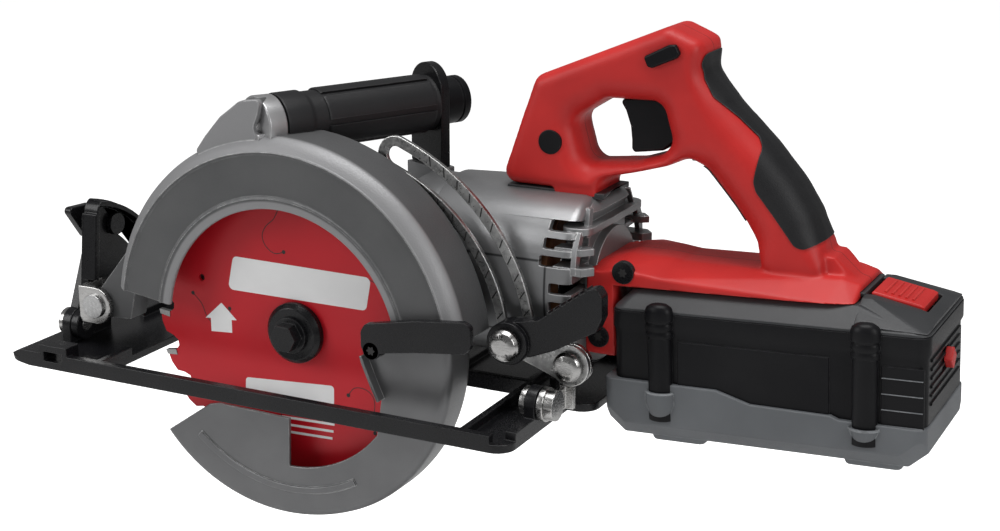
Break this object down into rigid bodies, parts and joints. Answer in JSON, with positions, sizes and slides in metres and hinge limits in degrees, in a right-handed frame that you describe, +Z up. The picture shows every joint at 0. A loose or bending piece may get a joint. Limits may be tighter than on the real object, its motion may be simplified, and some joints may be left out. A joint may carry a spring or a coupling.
{
  "type": "worm drive circular saw",
  "caption": "Cordless worm drive circular saw: toothed blade under fixed and swinging guards, tilting foot with depth bracket, in-line motor, rear grip, top handle, slide-on battery.",
  "frame": {"origin": "centre of the foot's sole at full depth and zero bevel", "axes": "+X points to the rear with the battery, +Y to the motor side, +Z up"},
  "size_m": [0.5114, 0.1595, 0.2719],
  "materials": {
    "guard_cast": "sand-cast and satin painted grey",
    "guard_sheet": "satin grey",
    "case_silver": "die-cast silver grey",
    "black_metal": "gloss black powder coat on cast metal",
    "nickel": "bright nickel plated",
    "steel": "plain machined steel",
    "blade_red": "satin red coating",
    "carbide": "ground carbide",
    "bronze": "cast bronze",
    "copper": "laminated core with windings",
    "red_shell": "moulded, fine grain",
    "black_plastic": "moulded, fine grain",
    "grey_plastic": "moulded, fine grain",
    "charcoal": "moulded, fine grain",
    "soft_black": "soft overmould",
    "cells": "wrapped cells"
  },
  "bodies": {
    "saw_body": {"upper_guard": "guard_cast", "gear_housing": "case_silver", "gear_cover": "case_silver", "case_screws": "steel", "motor_housing": "case_silver", "stator": "copper", "arbor_bearings": "steel", "rotor_bearings": "steel", "guard_retainer": "steel", "guard_spring": "steel", "handle_left": "red_shell", "handle_right": "red_shell", "rear_grip_pad": "soft_black", "front_grip_pad": "soft_black", "handle_plugs": "black_plastic", "base_screws": "black_metal", "switch_module": "charcoal", "controller": "charcoal", "terminal_block": "bronze", "top_grip": "soft_black", "top_rod": "steel", "top_bracket": "black_metal", "top_cap": "soft_black", "depth_stud": "nickel", "motor_trim": "charcoal"},
    "blade_set": {"blade": "blade_red", "carbide_tips": "carbide", "inner_flange": "steel", "outer_flange": "black_metal", "blade_bolt": "black_metal", "arbor_shaft": "steel", "worm_wheel": "bronze"},
    "rotor_set": {"worm_shaft": "steel", "rotor": "steel", "fan": "charcoal"},
    "guard_set": {"lower_guard": "guard_sheet", "guard_lever": "black_plastic", "lever_screw": "steel"},
    "carriage": {"bevel_quadrant": "black_metal", "pivot_clevis": "nickel", "pivot_pin": "nickel", "rear_link": "nickel", "bevel_pins": "nickel", "bracket_pin": "nickel"},
    "foot_set": {"foot": "black_metal", "bevel_stud": "nickel"},
    "bracket_set": {"depth_bracket": "nickel"},
    "depth_clamp": {"depth_lever": "black_plastic"},
    "bevel_clamp": {"bevel_lever": "black_plastic"},
    "trigger_set": {"trigger": "black_plastic"},
    "lock_off": {"lock_off_button": "black_plastic"},
    "arbor_lock": {"spindle_lock": "black_plastic"},
    "battery": {"battery_boot": "grey_plastic", "battery_case": "black_plastic", "battery_top": "charcoal", "battery_cells": "cells", "battery_screws": "steel"},
    "latch": {"battery_latch": "red_shell"},
    "gauge": {"gauge_button": "red_shell"}
  },
  "joints": [
    {"name": "blade_spin", "type": "hinge", "parent": "saw_body", "child": "blade_set", "pos_m": [0.013, -0.035, 0.0317], "axis": [0, 1, 0], "continuous": true},
    {"name": "rotor_spin", "type": "hinge", "parent": "saw_body", "child": "rotor_set", "pos_m": [0.013, 0.036, 0.0647], "axis": [1, 0, 0], "continuous": true},
    {"name": "guard_swing", "type": "hinge", "parent": "saw_body", "child": "guard_set", "pos_m": [0.013, -0.035, 0.0317], "axis": [0, -1, 0], "range_deg": [0, 115], "stiffness_Nm_per_rad": 0.35, "springref_deg": -51.57},
    {"name": "foot_depth", "type": "hinge", "parent": "saw_body", "child": "carriage", "pos_m": [-0.122, -0.035, 0.0287], "axis": [0, 1, 0], "range_deg": [0, 27]},
    {"name": "bracket_swing", "type": "hinge", "parent": "carriage", "child": "bracket_set", "pos_m": [0.167, -0.017, 0.0307], "axis": [0, 1, 0], "range_deg": [0, 18.36]},
    {"name": "foot_bevel", "type": "hinge", "parent": "carriage", "child": "foot_set", "pos_m": [0.013, -0.035, 0.0147], "axis": [1, 0, 0], "range_deg": [-53, 0]},
    {"name": "depth_lever_swing", "type": "hinge", "parent": "saw_body", "child": "depth_clamp", "pos_m": [0.137, -0.025, 0.0417], "axis": [0, 1, 0], "range_deg": [-45, 0]},
    {"name": "bevel_lever_swing", "type": "hinge", "parent": "foot_set", "child": "bevel_clamp", "pos_m": [-0.147, -0.00636, 0.06856], "axis": [1, 0, 0], "range_deg": [0, 60]},
    {"name": "trigger_pull", "type": "hinge", "parent": "saw_body", "child": "trigger_set", "pos_m": [0.18588, 0.036, 0.16233], "axis": [0, -1, 0], "range_deg": [0, 11], "stiffness_Nm_per_rad": 1.2, "springref_deg": -14.32},
    {"name": "lock_off_push", "type": "slide", "parent": "saw_body", "child": "lock_off", "axis": [0, 1, 0], "range_m": [0, 0.0025], "stiffness_N_per_m": 1200, "springref_m": -0.001},
    {"name": "spindle_lock_push", "type": "slide", "parent": "saw_body", "child": "arbor_lock", "axis": [1, 0, 0], "range_m": [0, 0.004], "stiffness_N_per_m": 1000, "springref_m": -0.001},
    {"name": "battery_slide", "type": "slide", "parent": "saw_body", "child": "battery", "axis": [0.9988, 0, 0.0489], "range_m": [0, 0.17]},
    {"name": "latch_push", "type": "slide", "parent": "battery", "child": "latch", "axis": [0.0489, 0, -0.9988], "range_m": [0, 0.003], "stiffness_N_per_m": 1500, "springref_m": -0.001},
    {"name": "gauge_push", "type": "slide", "parent": "battery", "child": "gauge", "axis": [-0.9988, 0, -0.0489], "range_m": [0, 0.0012], "stiffness_N_per_m": 1500, "springref_m": -0.0005}
  ],
  "couplings": [
    {"joint": "rotor_spin", "follows": "blade_spin", "ratio": -3.75},
    {"joint": "bracket_swing", "follows": "foot_depth", "ratio": 0.68}
  ]
}
